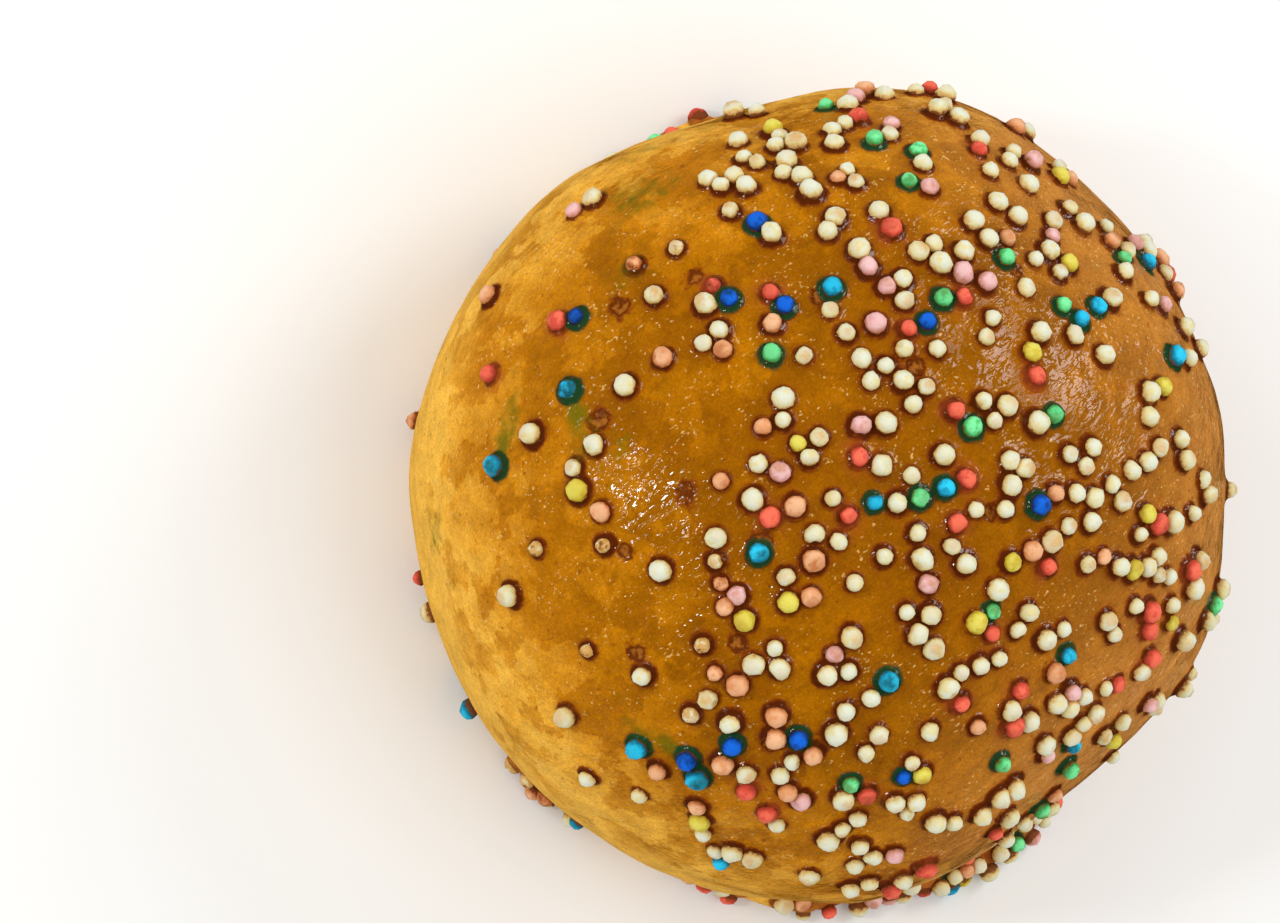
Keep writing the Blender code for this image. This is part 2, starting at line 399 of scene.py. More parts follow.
# The collar of glaze round a bead: how far it climbs in shares of the bead's lift, the most on the
# dome and at the foot in shares of the bead's radius, and where and how widely it flares out
COLLAR_CLIMB = (0.8, 1.5)
MOST_CLIMB = 0.66
FOOT_CLIMB = 0.35
FOOT_TOP = WAIST_HEIGHT / 2
COLLAR_START = 0.86
COLLAR_FLARE = 0.31 * MM
# How far a pool of caramel reaches beyond its bead, and how near a bead must be to count
POOL_WIDTHS = (-0.08 * MM, 0.26 * MM)
NEAR_BEAD = 3.5 * MM
# Rises of the glaze that meet flow together, the more smoothly the lower this power is
FLOW = 3

# How far dye bleeds from a green or blue bead and from a red one, and the runs of wet dye: their
# lengths, the share of beads that have one, how wide they begin and end, and how far they fade
DYE_EDGE = 0.50 * MM
RED_BLEED = 0.9 * MM
DYE_RUNS = (2.5 * MM, 6.5 * MM)
DYE_RUN_SHARE = 0.5
DYE_RUN_WIDTHS = (0.8 * MM, 2.0 * MM)
DYE_RUN_FADE = 0.7
# Low waves of the crust: length and height
DIMPLES = ((2.4 * MM, 0.06 * MM), (6.5 * MM, 0.22 * MM))
GLAZE_SEED = 11

glazing = random.Random(GLAZE_SEED)
collars = []
dye_runs = []
for (middle, radius, way), sugar in zip(beads, sugars):
    lift = (middle - skin(*place_of(middle))).dot(way)
    lift = min(max(lift, BEAD_LIFT[0] * radius), radius)
    foot = middle - way * lift
    climb, pool = lift * glazing.uniform(*COLLAR_CLIMB), glazing.uniform(*POOL_WIDTHS)
    most = radius * (MOST_CLIMB if middle.z > FOOT_TOP else FOOT_CLIMB)
    collars.append((foot, radius, way, min(climb, most), pool, sugar))
    run = way.orthogonal()
    run.rotate(Quaternion(way, glazing.uniform(0, 2 * math.pi)))
    run *= glazing.uniform(*DYE_RUNS)
    ran = glazing.random() < DYE_RUN_SHARE
    if ran and sugar in GREEN_DYES and middle.x < SPARSE_EDGE:
        dye_runs.append((foot, run))
scars = [(skin(bearing, turn), radius) for bearing, turn, radius in SCARS]
hazes = [(skin(bearing, turn), radius, share) for bearing, turn, radius, share in HAZES]


def dye_run(point, start, run):
    """How strongly a run of dye, which widens and fades along its way, stains a point."""
    share = min(1, max(0, (point - start).dot(run) / run.length_squared))
    width = DYE_RUN_WIDTHS[0] + (DYE_RUN_WIDTHS[1] - DYE_RUN_WIDTHS[0]) * share
    aside = (point - start - run * share).length / width
    return math.exp(-aside * aside) * (1 - DYE_RUN_FADE * share)


def crust_detail(point):
    """What lies on the crust at a point: the glaze's rise, the gap to the nearest bead in
    millimetres, how green, olive and red the dye has made it, and how near a scar is."""
    rise, gap, green, olive, red, scar = 0, NEAR_BEAD / MM, 0, 0, 0, 0
    for _, number, _ in feet.find_range(point, NEAR_BEAD):
        foot, radius, way, climb, pool, sugar = collars[number]
        aside = point - foot
        aside -= way * aside.dot(way)
        reach = aside.length
        gap = min(gap, (reach - radius - pool) / MM)
        flare = max(0, reach - COLLAR_START * radius) / COLLAR_FLARE
        rise += (climb * math.exp(-flare)) ** FLOW
        edge = max(0, reach - radius)
        if sugar in GREEN_DYES:
            green = max(green, math.exp(-((edge / DYE_EDGE) ** 2)))
        if sugar == "red":
            red = max(red, math.exp(-((edge / RED_BLEED) ** 2)))
    for start, run in dye_runs:
        olive = max(olive, dye_run(point, start, run))
    for place, radius in scars:
        reach = (point - place).length / radius
        if reach < SCAR_REACH:
            scar = max(scar, math.exp(-((reach / SCAR_EDGE) ** 4)))
            rise += (SCAR_RIM * math.exp(-(((reach - 1) / SCAR_RIM_WIDTH) ** 2))) ** FLOW
    for place, radius, share in hazes:
        reach = (point - place).length / radius
        olive = max(olive, share * math.exp(-reach * reach))
    return rise ** (1 / FLOW), gap, green, olive, red, scar


def mark(mesh, values):
    """Gives each vertex its number under each name, for the finish to read."""
    for name, numbers in values.items():
        marked = mesh.attributes.new(name, "FLOAT", "POINT")
        marked.data.foreach_set("value", np.asarray(numbers, dtype=np.float32))


found = np.array([crust_detail(vertex.co) for vertex in crust.data.vertices])
details = dict(zip(("rise", "gap", "green", "olive", "red", "scar"), found.T))
normals = np.array([vertex.normal for vertex in crust.data.vertices])
places = np.array([vertex.co for vertex in crust.data.vertices])
rise = details.pop("rise") - SCAR_DEPTH * details["scar"]
for length, height in DIMPLES:
    rise += height * np.array([noise.noise(Vector(place) / length) for place in places])
rise *= np.clip(places[:, 2] / LIP_HEIGHT, 0, 1)
places += normals * rise[:, None]
places[:, 2] = np.maximum(places[:, 2], 0)
crust.data.vertices.foreach_set("co", places.astype(np.float32).ravel())
mark(crust.data, details)
crust.data.update()
bpy.ops.object.shade_smooth()


def paint(red, green, blue):
    """A colour as it looks on a screen, from 0 to 255, as the shader wants it."""
    shares = [value / 255 for value in (red, green, blue)]
    return (*[s / 12.92 if s <= 0.04045 else ((s + 0.055) / 1.055) ** 2.4 for s in shares], 1)


def new_finish(name):
    """A new material, its nodes, and its shader."""
    finish = bpy.data.materials.new(name)
    finish.use_nodes = True
    return finish, finish.node_tree, finish.node_tree.nodes["Principled BSDF"]


def attribute(tree, name):
    node = tree.nodes.new("ShaderNodeAttribute")
    node.attribute_name = name
    return node.outputs["Fac"]


def sum_up(tree, operation, first, second):
    """A Math node on two values, each a socket or a number."""
    node = tree.nodes.new("ShaderNodeMath")
    node.operation = operation
    for socket, value in zip(node.inputs, (first, second)):
        if isinstance(value, (int, float)):
            socket.default_value = value
        else:
            tree.links.new(value, socket)
    return node.outputs["Value"]


def times(tree, first, second):
    return sum_up(tree, "MULTIPLY", first, second)


def plus(tree, first, second):
    return sum_up(tree, "ADD", first, second)


# Glaze, sugar and table share one uneven grain. Each finish sets its size, softness and direction.
GRAIN_SOCKETS = (
    ("Size", "NodeSocketFloat", MM),
    ("Detail", "NodeSocketFloat", 3.0),
    ("Roughness", "NodeSocketFloat", 0.55),
    ("Curl", "NodeSocketFloat", 0.0),
    ("Start", "NodeSocketVector", (0, 0, 0)),
    ("Turn", "NodeSocketVector", (0, 0, 0)),
    ("Stretch", "NodeSocketVector", (1, 1, 1)),
)
uneven_grain = bpy.data.node_groups.new("uneven_grain", "ShaderNodeTree")
for name, kind, value in GRAIN_SOCKETS:
    socket = uneven_grain.interface.new_socket(name, in_out="INPUT", socket_type=kind)
    socket.default_value = value
uneven_grain.interface.new_socket("Grain", in_out="OUTPUT", socket_type="NodeSocketFloat")
given = uneven_grain.nodes.new("NodeGroupInput").outputs
coordinates = uneven_grain.nodes.new("ShaderNodeTexCoord")
moved = uneven_grain.nodes.new("ShaderNodeMapping")
moved.vector_type = "TEXTURE"
clouds = uneven_grain.nodes.new("ShaderNodeTexNoise")
result = uneven_grain.nodes.new("NodeGroupOutput")
for giver, taker in (
    (coordinates.outputs["Object"], moved.inputs["Vector"]),
    (given["Start"], moved.inputs["Location"]),
    (given["Turn"], moved.inputs["Rotation"]),
    (given["Stretch"], moved.inputs["Scale"]),
    (moved.outputs["Vector"], clouds.inputs["Vector"]),
    (sum_up(uneven_grain, "DIVIDE", 1, given["Size"]), clouds.inputs["Scale"]),
    (given["Detail"], clouds.inputs["Detail"]),
    (given["Roughness"], clouds.inputs["Roughness"]),
    (given["Curl"], clouds.inputs["Distortion"]),
    (clouds.outputs["Fac"], result.inputs["Grain"]),
):
    uneven_grain.links.new(giver, taker)


def grain(tree, size, detail=3.0, roughness=0.55, start=0.0, stretch=(1, 1, 1), curl=0.0):
    """The uneven grain placed in a finish: blots about size metres across, from 0 to 1. start
    moves and turns them, stretch lengthens them each way, and curl twists them."""
    node = tree.nodes.new("ShaderNodeGroup")
    node.node_tree = uneven_grain
    values = (size, detail, roughness, curl, (start, start, start), (0, 0, start), stretch)
    for (name, _, _), value in zip(GRAIN_SOCKETS, values):
        node.inputs[name].default_value = value
    return node.outputs["Grain"]


def ramp(tree, value, low, high, start=0.0, end=1.0):
    """value's way from low to high, as a smooth way from start to end."""
    node = tree.nodes.new("ShaderNodeMapRange")
    node.interpolation_type = "SMOOTHSTEP"
    for name, number in (("From Min", low), ("From Max", high), ("To Min", start), ("To Max", end)):
        node.inputs[name].default_value = number
    tree.links.new(value, node.inputs["Value"])
    return node.outputs["Result"]


def coat_over(tree, under, over, share):
    """The colour over laid on the colour under where share says. Each is a socket or a colour."""
    node = tree.nodes.new("ShaderNodeMix")
    node.data_type = "RGBA"
    for socket, value in ((node.inputs[0], share), (node.inputs[6], under), (node.inputs[7], over)):
        if isinstance(value, bpy.types.NodeSocket):
            tree.links.new(value, socket)
        else:
            socket.default_value = value
    return node.outputs[2]


def layers_over(tree, colour, layers):
    """The colour under layers, each given as its colour and where it lies over those before."""
    for over, share in layers:
        colour = coat_over(tree, colour, over, share)
    return colour


def tint(tree, colour, strength):
    """The colour made lighter or darker: strength 1 leaves it as it is."""
    node = tree.nodes.new("ShaderNodeMix")
    node.data_type = "RGBA"
    node.blend_type = "MULTIPLY"
    node.inputs[0].default_value = 1
    tree.links.new(colour, node.inputs[6])
    tree.links.new(strength, node.inputs[7])
    return node.outputs[2]


def colours_along(tree, value, stops):
    """Colours that follow each other as value goes from 0 to 1: each stop's value and colour."""
    node = tree.nodes.new("ShaderNodeValToRGB")
    elements = node.color_ramp.elements
    for number, (at, colour) in enumerate(stops):
        element = elements[number] if number < len(elements) else elements.new(at)
        element.position = at
        element.color = paint(*colour)
    tree.links.new(value, node.inputs["Fac"])
    return node.outputs["Color"]


def waver(tree, size, height, detail=3.0, start=0.0):
    """Noise that moves a value up and down by height at most."""
    return times(tree, plus(tree, grain(tree, size, detail, start=start), -0.5), 2 * height)


# How the crust deepens in colour, from the pale foot over the side to the crown
BAKED_COLOURS = (
    (0.00, (236, 178, 64)),
    (0.24, (220, 153, 38)),
    (0.52, (192, 120, 6)),
    (0.76, (168, 101, 0)),
    (1.00, (148, 86, 0)),
)
# Heights over which the crust changes: where it browns, which leans this much east and north, the
# tan rim with painted sheen on the thick side, the caramel, the glaze's thickness and gloss, and
# what lay on the tray
BAKE_HEIGHTS = (17 * MM, 47 * MM)
BAKE_LEANS = (0.06, -0.04)
TAN_AND_SHEEN_RIM_HEIGHTS = (34 * MM, 50 * MM)
TAN_AND_SHEEN_RIM_SIDE = (-6 * MM, 22 * MM)
CARAMEL_HEIGHTS = (2 * MM, 9 * MM)
THICK_HEIGHTS = (4 * MM, 34 * MM)
GLOSS_HEIGHTS = (2 * MM, 20 * MM)
TRAY_HEIGHTS = (0.1 * MM, 1.2 * MM)
# How the browning, caramel, scars and stains wander: size, height, detail and start
BAKE_WAVERS = ((11 * MM, 12 * MM), (2.8 * MM, 7 * MM, 4.0, 0.4))
CARAMEL_WAVERS = ((1.5 * MM, 0.34), (0.5 * MM, 0.16, 2.0, 1.9))
SCAR_WAVER = (0.7 * MM, 0.75, 4.0, 2.4)
OLIVE_WAVER = (1.3 * MM, 0.6, 5.0, 1.4)
GREEN_WAVER = (0.9 * MM, 0.45, 3.0, 0.2)
# The crust's grains: size, detail, roughness and start, and for some their stretch and curl
COASTS = (6 * MM, 4.0, 0.6, 0.5)
MOTTLE = (2.4 * MM, 6.0, 0.72, 0.7)
BLOTS = (1.8 * MM, 3.0, 0.6, 2.7)
FINE_GRAIN = (0.24 * MM, 2.0, 0.6, 2.1)
# Pale blisters in the glaze, which also stand in as painted glints: where they gather, and their
# grain
BLISTER_AND_GLINT_PLACES = (3.5 * MM, 3.0, 0.6, 3.3)
BLISTER_AND_GLINT_GRAIN = (0.34 * MM, 1.0, 0.5, 0.7, (1.35, 0.95, 1.0))
SPECKS = (0.5 * MM, 1.0, 0.5, 0.9)
LEATHER = (0.55 * MM, 1.0, 0.5, 0.7, (2.0, 0.9, 1.0), 0.4)
SWELLS = (1.7 * MM, 1.0, 0.5, 0.8, (2.0, 0.8, 1.0), 0.5)
RED_PATCHES = (2 * MM, 3.0, 0.55, 1.1)
SHINY_PATCHES = (4.5 * MM, 2.0, 0.5, 0.8)
WRINKLE_HEIGHT = 0.17 * MM
# What lies on the browned crust
RED_BLOT = paint(158, 78, 6)
# Pale blisters, partly real and partly painted glints of light on the glaze
BLISTER_AND_GLINT = paint(238, 196, 120)
# Tan of the rim, partly thinner glaze and partly painted sheen
RIM_TAN_AND_SHEEN = paint(204, 136, 62)
CARAMEL = paint(134, 60, 8)
DARK_CARAMEL = paint(80, 27, 5)
FOOT_CARAMEL = paint(178, 108, 36)
FOOT_DARK = paint(132, 62, 16)
SPECK = paint(90, 42, 4)
GREEN_STAIN = paint(14, 66, 36)
OLIVE_STAIN = paint(104, 100, 6)
RED_STAIN = paint(196, 84, 40)
TRAY_BROWN = paint(186, 126, 62)

glazed, tree, shader = new_finish("glazed_crust")
coordinates = tree.nodes.new("ShaderNodeTexCoord")
axes = tree.nodes.new("ShaderNodeSeparateXYZ")
tree.links.new(coordinates.outputs["Object"], axes.inputs["Vector"])
east, north, height = axes.outputs
gap = attribute(tree, "gap")

# How far each place is browned: the crown and the side with the beads most, and the foot least,
# in patches with edges like coasts
lean = plus(tree, times(tree, east, BAKE_LEANS[0]), times(tree, north, BAKE_LEANS[1]))
baked = plus(tree, lean, height)
for wavering in BAKE_WAVERS:
    baked = plus(tree, baked, waver(tree, *wavering))
baked = times(tree, plus(tree, baked, -BAKE_HEIGHTS[0]), 1 / (BAKE_HEIGHTS[1] - BAKE_HEIGHTS[0]))
baked = plus(tree, baked, ramp(tree, grain(tree, *COASTS), 0.47, 0.53, -0.12, 0.10))
crust_colour = colours_along(tree, baked, BAKED_COLOURS)
# A tan rim on the thick side, partly paler thin glaze and partly painted sheen of light on it
tan_and_sheen_rim = times(tree, ramp(tree, east, *TAN_AND_SHEEN_RIM_SIDE), ramp(tree, height, *TAN_AND_SHEEN_RIM_HEIGHTS, 1.0, 0.0))
crust_colour = coat_over(tree, crust_colour, RIM_TAN_AND_SHEEN, times(tree, tan_and_sheen_rim, 0.85))

# Uneven at every size: soft, reddish blots, fine grain, dark specks, and pale blisters with painted
# glints
mottle = grain(tree, *MOTTLE)
crust_colour = tint(tree, crust_colour, ramp(tree, mottle, 0.30, 0.72, 0.88, 1.15))
blots = ramp(tree, grain(tree, *BLOTS), 0.60, 0.70, 0.0, 0.30)
blots = times(tree, blots, ramp(tree, baked, 0.0, 0.5, 0.3, 1.0))
crust_colour = coat_over(tree, crust_colour, RED_BLOT, blots)
fine = ramp(tree, grain(tree, *FINE_GRAIN), 0.34, 0.74, 0.88, 1.16)
crust_colour = tint(tree, crust_colour, fine)
# Painted glints: pale blisters gathered in patches, partly real blisters and partly glints of light
# painted into the colour
blister_and_glint_places = ramp(tree, grain(tree, *BLISTER_AND_GLINT_PLACES), 0.38, 0.62, -0.07, 0.06)
blisters_and_glints = plus(tree, grain(tree, *BLISTER_AND_GLINT_GRAIN), blister_and_glint_places)
specks = grain(tree, *SPECKS)

# Glaze that pooled near the beads is browner, and in the collars it is dark caramel, but at the
# foot it stays paler
near = gap
for wavering in CARAMEL_WAVERS:
    near = plus(tree, near, waver(tree, *wavering))
above_foot = ramp(tree, height, *CARAMEL_HEIGHTS)
foot_caramel = coat_over(tree, FOOT_CARAMEL, FOOT_DARK, ramp(tree, mottle, 0.42, 0.60))
caramel = coat_over(tree, foot_caramel, CARAMEL, above_foot)
pooled = times(tree, ramp(tree, near, 0.0, 0.27, 0.92, 0.0), above_foot)

# Scars have a dark rim and a paler middle. Dye stains the crust red, olive and green.
scar = plus(tree, attribute(tree, "scar"), waver(tree, *SCAR_WAVER))
red = times(tree, attribute(tree, "red"), ramp(tree, grain(tree, *RED_PATCHES), 0.35, 0.65))
olive = plus(tree, attribute(tree, "olive"), waver(tree, *OLIVE_WAVER))
green = plus(tree, attribute(tree, "green"), waver(tree, *GREEN_WAVER))

crust_colour = layers_over(tree, crust_colour, (
    (BLISTER_AND_GLINT, ramp(tree, blisters_and_glints, 0.67, 0.79, 0.0, 0.6)),
    (SPECK, ramp(tree, specks, 0.72, 0.78, 0.0, 0.45)),
    (CARAMEL, ramp(tree, near, 0.2, 0.9, 0.30, 0.0)),
    (caramel, ramp(tree, near, 0.22, 0.36, 0.92, 0.0)),
    (DARK_CARAMEL, pooled),
    (CARAMEL, ramp(tree, scar, 0.15, 0.45, 0.0, 0.80)),
    (DARK_CARAMEL, ramp(tree, scar, 0.40, 0.65, 0.0, 0.7)),
    (FOOT_CARAMEL, ramp(tree, scar, 0.75, 1.10, 0.0, 0.75)),
    (RED_STAIN, times(tree, red, 0.35)),
    (OLIVE_STAIN, ramp(tree, olive, 0.14, 0.80, 0.0, 0.85)),
    (GREEN_STAIN, ramp(tree, green, 0.22, 0.80, 0.0, 0.95)),
    (TRAY_BROWN, ramp(tree, height, *TRAY_HEIGHTS, 1.0, 0.0)),
))
tree.links.new(crust_colour, shader.inputs["Base Color"])

# The glaze shines in patches, is dull at the foot and in scars, and is most wrinkled where it is
# thickest, towards the crown
thick = ramp(tree, height, *THICK_HEIGHTS, 0.25, 1.0)
glossy = times(tree, ramp(tree, height, *GLOSS_HEIGHTS), ramp(tree, baked, 0.0, 0.5, 0.2, 1.0))
glossy = times(tree, glossy, ramp(tree, scar, 0.3, 0.8, 1.0, 0.3))
patches = ramp(tree, grain(tree, *SHINY_PATCHES), 0.42, 0.58, 0.30, 1.0)
tree.links.new(times(tree, glossy, patches), shader.inputs["Coat Weight"])
rough = ramp(tree, glossy, 0.0, 1.0, 0.60, 0.38)
rough = plus(tree, rough, ramp(tree, mottle, 0.35, 0.7, 0.0, 0.14))
tree.links.new(rough, shader.inputs["Roughness"])
wrinkles = plus(tree, grain(tree, *LEATHER), times(tree, grain(tree, *SWELLS), 1.6))
at_beads = ramp(tree, gap, 0.16, 0.44, 0.8, 0.0)
bump = tree.nodes.new("ShaderNodeBump")
bump.inputs["Distance"].default_value = WRINKLE_HEIGHT
tree.links.new(plus(tree, times(tree, wrinkles, thick), at_beads), bump.inputs["Height"])
tree.links.new(bump.outputs["Normal"], shader.inputs["Normal"])
tree.links.new(bump.outputs["Normal"], shader.inputs["Coat Normal"])
shader.inputs["Specular IOR Level"].default_value = 0.10
shader.inputs["Specular Tint"].default_value = paint(255, 208, 120)
shader.inputs["Coat Roughness"].default_value = 0.05
shader.inputs["Coat IOR"].default_value = 1.5
crust.data.materials.append(glazed)

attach(crust, "root")
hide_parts("roll")

# The sugar beads
# Hard sugar balls coated with food dye, a little lumpy, matte after baking, and toasted or soaked
# brown where hot glaze reached them. They stick in the glaze. All beads of a colour are one piece.

BEAD_LUMPS = 0.075
# The bead shapes, for a radius of 1: the height at which the cap begins, how far its middle sinks
# in, and the seed of the lumps. A cap keeps CAP_SHARE of its height.
BEAD_SHAPES = (
    (0.80, 0.00, 1),
    (0.72, 0.00, 2),
    (0.84, 0.10, 3),
    (0.95, 0.00, 4),
    (0.76, 0.22, 5),
    (0.90, 0.00, 6),
)
CAP_SHARE = 0.2

# How beads differ: their swelling and squashing in the oven, their tilt, how far the toasted spot
# lies off the top, and how many are toasted. Scorched ones shrink.
BEAD_SWELL = 1.03
BEAD_SQUASH = (0.92, 1.06)
BEAD_TILT = 0.35
SPOT_LEAN = 0.45
SPARSE_TOASTING = 0.35
SCORCHED_FROM = 1.05
SCORCHED_SIZE = 0.9
# Beads whose middles are nearer than this may share a seam
NEIGHBOUR_REACH = 4 * BEAD_RADIUS

# Each sugar's colour: its face, its blotches and painted shade, and where it is toasted
SUGAR_COLOURS = {
    "cream": ((219, 220, 198), (222, 206, 138), (206, 154, 76)),
    "red": ((242, 110, 82), (204, 66, 48), (164, 62, 38)),
    "pink": ((234, 190, 188), (216, 150, 142), (194, 130, 90)),
    "peach": ((234, 180, 136), (218, 142, 88), (184, 104, 50)),
    "green": ((126, 238, 160), (62, 176, 94), (80, 120, 40)),
    "yellow": ((222, 210, 90), (204, 180, 46), (182, 144, 38)),
    "cyan": ((36, 200, 238), (8, 132, 170), (10, 84, 90)),
    "blue": ((0, 100, 218), (0, 58, 140), (2, 40, 66)),
}
SOAKED = paint(116, 56, 10)
# The sugar's grains: size, detail, roughness and start
SUGAR_PITS = (0.55 * MM, 3.0, 0.6)
SUGAR_BLOTCHES = (1.1 * MM, 2.0, 0.55, 0.6)
SCORCHED_CRUMBS = (0.9 * MM, 4.0, 0.65, 1.7)
PIT_DEPTH = 0.10 * MM
SUGAR_SEED = 31

shapes = []
for cap, dent, seed in BEAD_SHAPES:
    bpy.ops.object.select_all(action="DESELECT")
    bpy.ops.mesh.primitive_ico_sphere_add(subdivisions=2, radius=1)
    shape = bpy.context.object
    bpy.ops.object.mode_set(mode="EDIT")
    bpy.ops.mesh.select_all(action="SELECT")
    bpy.ops.transform.vertex_random(offset=BEAD_LUMPS, uniform=0.0, normal=1.0, seed=seed)
    bpy.ops.mesh.select_mode(type="VERT")
    bpy.ops.mesh.select_all(action="DESELECT")
    bpy.ops.object.mode_set(mode="OBJECT")
    for vertex in shape.data.vertices:
        vertex.select = vertex.co.z > cap
    bpy.ops.object.mode_set(mode="EDIT")
    bpy.ops.transform.resize(value=(1, 1, CAP_SHARE), center_override=(0, 0, cap))
    bpy.ops.mesh.select_all(action="DESELECT")
    bpy.ops.object.mode_set(mode="OBJECT")
    top = max(shape.data.vertices, key=lambda vertex: vertex.co.z - vertex.co.xy.length)
    top.select = True
    bpy.ops.object.mode_set(mode="EDIT")
    bpy.ops.transform.translate(value=(0, 0, -dent))
    bpy.ops.object.mode_set(mode="OBJECT")
    bpy.ops.object.shade_smooth()
    shapes.append(shape)


def sugar_bead(draw, shape, bead, neighbours):
    """A copy of a bead shape at its place on the crust, marked for its finish."""
    middle, radius, way = bead
    copy = shape.copy()
    copy.data = shape.data.copy()
    bpy.context.scene.collection.objects.link(copy)
    facing = way.to_track_quat("Z", "Y")
    tilt = Quaternion((1, draw.gauss(0, BEAD_TILT), draw.gauss(0, BEAD_TILT), 0)).normalized()
    spin = Quaternion((0, 0, 1), draw.uniform(0, 2 * math.pi))
    toasting = draw.random() + (SPARSE_TOASTING if middle.x < SPARSE_EDGE else 0)
    size = radius * (SCORCHED_SIZE if toasting > SCORCHED_FROM else BEAD_SWELL)
    squash = Vector([draw.uniform(*BEAD_SQUASH) for _ in range(3)]) * size
    for vertex in copy.data.vertices:
        vertex.co = middle + facing @ (tilt @ (spin @ (vertex.co * squash)))
    placed = np.array([vertex.co for vertex in copy.data.vertices])
    local = (placed - np.array(middle)) / radius
    seam = np.full(len(placed), 1.0)
    for other_middle, other_radius, _ in neighbours:
        apart = np.linalg.norm(placed - np.array(other_middle), axis=1) - other_radius
        seam = np.minimum(seam, np.clip(apart / MM, 0, 1))
    spot = Vector([draw.gauss(0, 1) for _ in range(3)]).normalized() * SPOT_LEAN + way
    mark(copy.data, {
        "stand": local @ np.array(way),
        "seam": seam,
        "spot": local @ np.array(spot.normalized()),
        "toast": np.full(len(placed), toasting),
        "batch": np.full(len(placed), draw.random()),
    })
    return copy


def sugar_finish(name, face, blotch_and_shade, toasted):
    """Matte dyed sugar: blotched, with painted shade on its lower half, toasted on one side or
    scorched all over, and soaked brown in the seams between beads and at the foot."""
    finish, tree, shader = new_finish(name)
    face, blotch_and_shade, toasted = paint(*face), paint(*blotch_and_shade), paint(*toasted)
    wander = plus(tree, grain(tree, *SUGAR_PITS), -0.5)
    blotch = plus(tree, grain(tree, *SUGAR_BLOTCHES), times(tree, wander, 0.5))
    stand = plus(tree, attribute(tree, "stand"), wander)
    seam = plus(tree, attribute(tree, "seam"), times(tree, wander, 0.2))
    toast = attribute(tree, "toast")
    spot = plus(tree, attribute(tree, "spot"), times(tree, wander, 0.5))
    spot = times(tree, ramp(tree, toast, 0.45, 1.0), ramp(tree, spot, 0.50, 1.05, 0.0, 0.85))
    scorched = ramp(tree, toast, 0.95, 1.20, 0.0, 0.9)
    crumbs = grain(tree, *SCORCHED_CRUMBS)
    colour = layers_over(tree, face, (
        (blotch_and_shade, ramp(tree, attribute(tree, "batch"), 0.4, 1.0, 0.0, 0.30)),
        (blotch_and_shade, ramp(tree, blotch, 0.50, 0.68, 0.0, 0.75)),
        # Painted shade: each bead deeper in tone over its lower half, towards the crust
        (blotch_and_shade, ramp(tree, stand, 0.28, 0.78, 0.85, 0.0)),
        (toasted, spot),
        (toasted, times(tree, scorched, ramp(tree, crumbs, 0.40, 0.52))),
        (SOAKED, times(tree, scorched, ramp(tree, crumbs, 0.56, 0.64))),
        (toasted, ramp(tree, seam, 0.04, 0.34, 0.9, 0.0)),
        (toasted, ramp(tree, stand, 0.08, 0.46, 0.75, 0.0)),
        (SOAKED, ramp(tree, stand, -0.12, 0.13, 0.92, 0.0)),
    ))
    tree.links.new(colour, shader.inputs["Base Color"])
    shader.inputs["Roughness"].default_value = 0.6
    shader.inputs["Specular IOR Level"].default_value = 0.2
    bump = tree.nodes.new("ShaderNodeBump")
    bump.inputs["Distance"].default_value = PIT_DEPTH
    tree.links.new(wander, bump.inputs["Height"])
    tree.links.new(bump.outputs["Normal"], shader.inputs["Normal"])
    return finish


dressing = random.Random(SUGAR_SEED)
strewn = {sugar: [] for sugar in SUGARS}
for number, (bead, sugar) in enumerate(zip(beads, sugars)):
    found = feet.find_range(bead[0], NEIGHBOUR_REACH)
    neighbours = [beads[other] for _, other, _ in found if other != number]
    strewn[sugar].append(sugar_bead(dressing, dressing.choice(shapes), bead, neighbours))
for sugar, copies in strewn.items():
    bpy.ops.object.select_all(action="DESELECT")
    for copy in copies:
        copy.select_set(True)
    bpy.context.view_layer.objects.active = copies[0]
    bpy.ops.object.join()
    piece = bpy.context.object
    piece.name = f"beads_{sugar}"
    piece.data.name = piece.name
    piece.data.materials.clear()
    piece.data.materials.append(sugar_finish(f"{sugar}_sugar", *SUGAR_COLOURS[sugar]))
    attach(piece, "root")
for shape in shapes:
    bpy.data.objects.remove(shape)

# The floor
# A plain pale table top, wide enough to fill the view from any side. It isn't part of the roll.

TABLE_SIZE = 6.0
TABLE_TONES = (paint(240, 240, 238), paint(236, 236, 234))
TABLE_BLOTS = 0.5

bpy.ops.object.select_all(action="DESELECT")
bpy.ops.mesh.primitive_plane_add(size=TABLE_SIZE)
floor = bpy.context.object
floor.name = "floor"
table_top, tree, shader = new_finish("pale_table")
tone = coat_over(tree, *TABLE_TONES, grain(tree, TABLE_BLOTS))
tree.links.new(tone, shader.inputs["Base Color"])
shader.inputs["Roughness"].default_value = 0.8
floor.data.materials.append(table_top)
floor.visible_glossy = False

# The camera
# It looks down on the crown, leaning a little towards the side with few beads. The roll stands
# right of the middle of the picture, as in the photograph.

IMAGE_WIDTH, IMAGE_HEIGHT = 1280, 923
ROLL_PIXEL = (837, 497)
PIXELS_PER_METRE_AT_ROLL = 10000
CAMERA_DISTANCE = 0.48
CAMERA_LEAN, CAMERA_BEARING = math.radians(18), math.radians(197.5)
AIM_HEIGHT = 22 * MM
SENSOR_WIDTH = 36

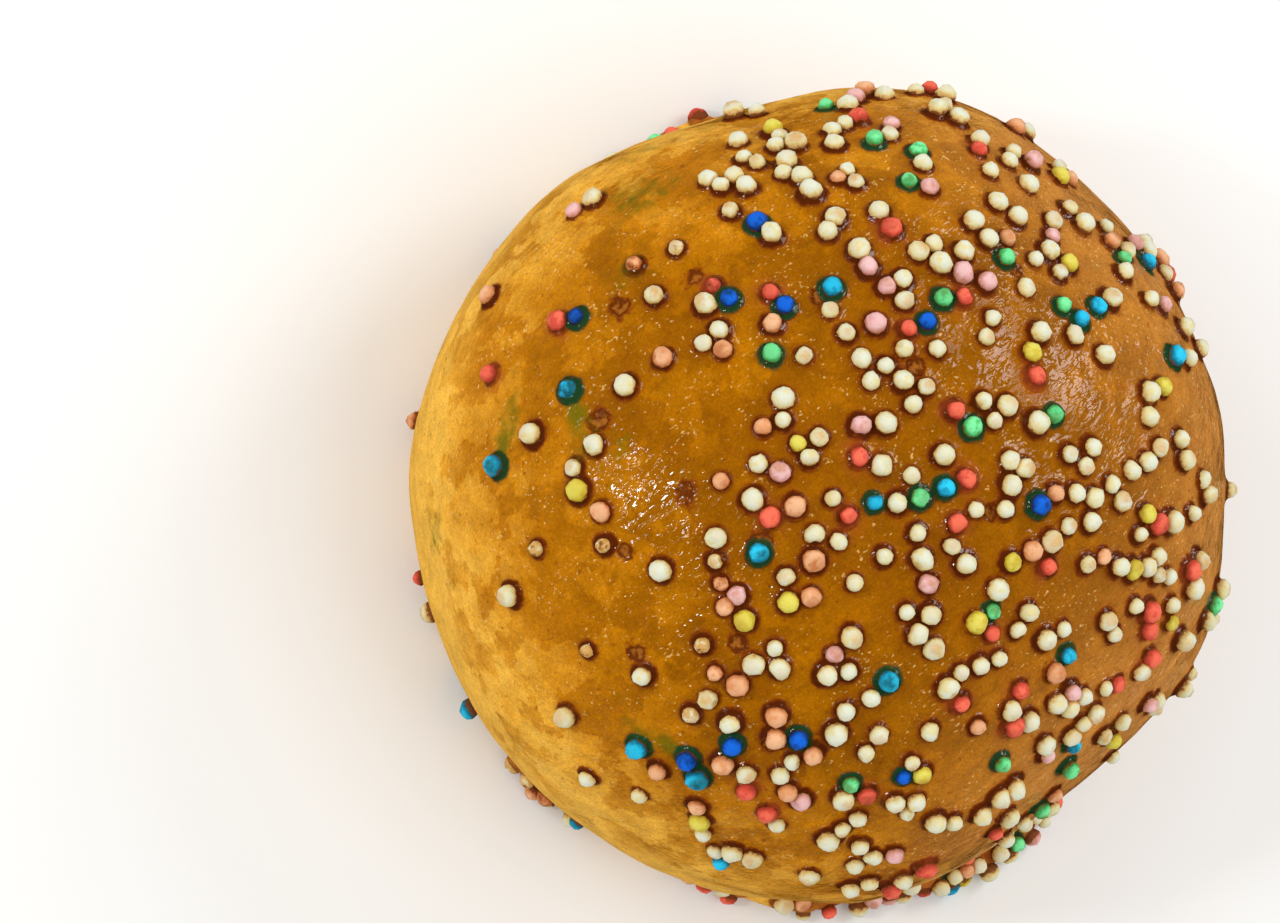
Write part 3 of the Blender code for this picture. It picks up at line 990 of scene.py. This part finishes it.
back = Vector((
    math.cos(CAMERA_BEARING) * math.sin(CAMERA_LEAN),
    math.sin(CAMERA_BEARING) * math.sin(CAMERA_LEAN),
    math.cos(CAMERA_LEAN),
))
right = Vector((0, 1, 0)).cross(back).normalized()
up = back.cross(right)
focal_pixels = PIXELS_PER_METRE_AT_ROLL * CAMERA_DISTANCE
eye = Vector((0, 0, AIM_HEIGHT)) + back * CAMERA_DISTANCE
to_right = (ROLL_PIXEL[0] - IMAGE_WIDTH / 2) / focal_pixels
to_down = (ROLL_PIXEL[1] - IMAGE_HEIGHT / 2) / focal_pixels
axis = (-back - right * to_right + up * to_down).normalized()
side = axis.cross(up).normalized()
turned = Matrix((side, side.cross(axis), -axis)).transposed()
camera_data = bpy.data.cameras.new("camera")
camera_data.sensor_width = SENSOR_WIDTH
camera_data.lens = focal_pixels / IMAGE_WIDTH * SENSOR_WIDTH
camera = bpy.data.objects.new("camera", camera_data)
camera.rotation_mode = "QUATERNION"
camera.location = eye
camera.rotation_quaternion = turned.to_quaternion()
bpy.context.scene.collection.objects.link(camera)
bpy.context.scene.camera = camera

# The light
# Soft studio light: two broad boxes that only light, two smaller ones that also show as glints and
# sheen on the glaze, and pale surroundings that fill the shadows.

# Each box: degrees across and above from the camera, distance, size, power, and if it shows
LIGHTS = (
    ("left_box", -34, 30, 0.80, 0.50, 1.5, False),
    ("right_box", 40, -10, 0.80, 0.50, 1.3, False),
    ("glint_box", -32, 6, 0.75, 0.08, 0.9, True),
    ("sheen_box", 54, 52, 0.70, 0.28, 1.3, True),
)
SURROUNDINGS = 0.72

for name, across, above, distance, size, power, shows in LIGHTS:
    way = Quaternion(up, math.radians(across)) @ back
    way = Quaternion(right, math.radians(-above)) @ way
    lamp_data = bpy.data.lights.new(name, "AREA")
    lamp_data.shape = "SQUARE"
    lamp_data.size = size
    lamp_data.energy = power
    lamp = bpy.data.objects.new(name, lamp_data)
    lamp.location = Vector((0, 0, AIM_HEIGHT)) + way * distance
    lamp.rotation_mode = "QUATERNION"
    lamp.rotation_quaternion = (-way).to_track_quat("-Z", "Y")
    lamp.visible_glossy = shows
    bpy.context.scene.collection.objects.link(lamp)

world = bpy.data.worlds.new("studio")
world.use_nodes = True
world.node_tree.nodes["Background"].inputs["Color"].default_value = (1, 1, 1, 1)
world.node_tree.nodes["Background"].inputs["Strength"].default_value = SURROUNDINGS
world.cycles_visibility.glossy = False
bpy.context.scene.world = world
bpy.context.scene.view_settings.view_transform = "Standard"
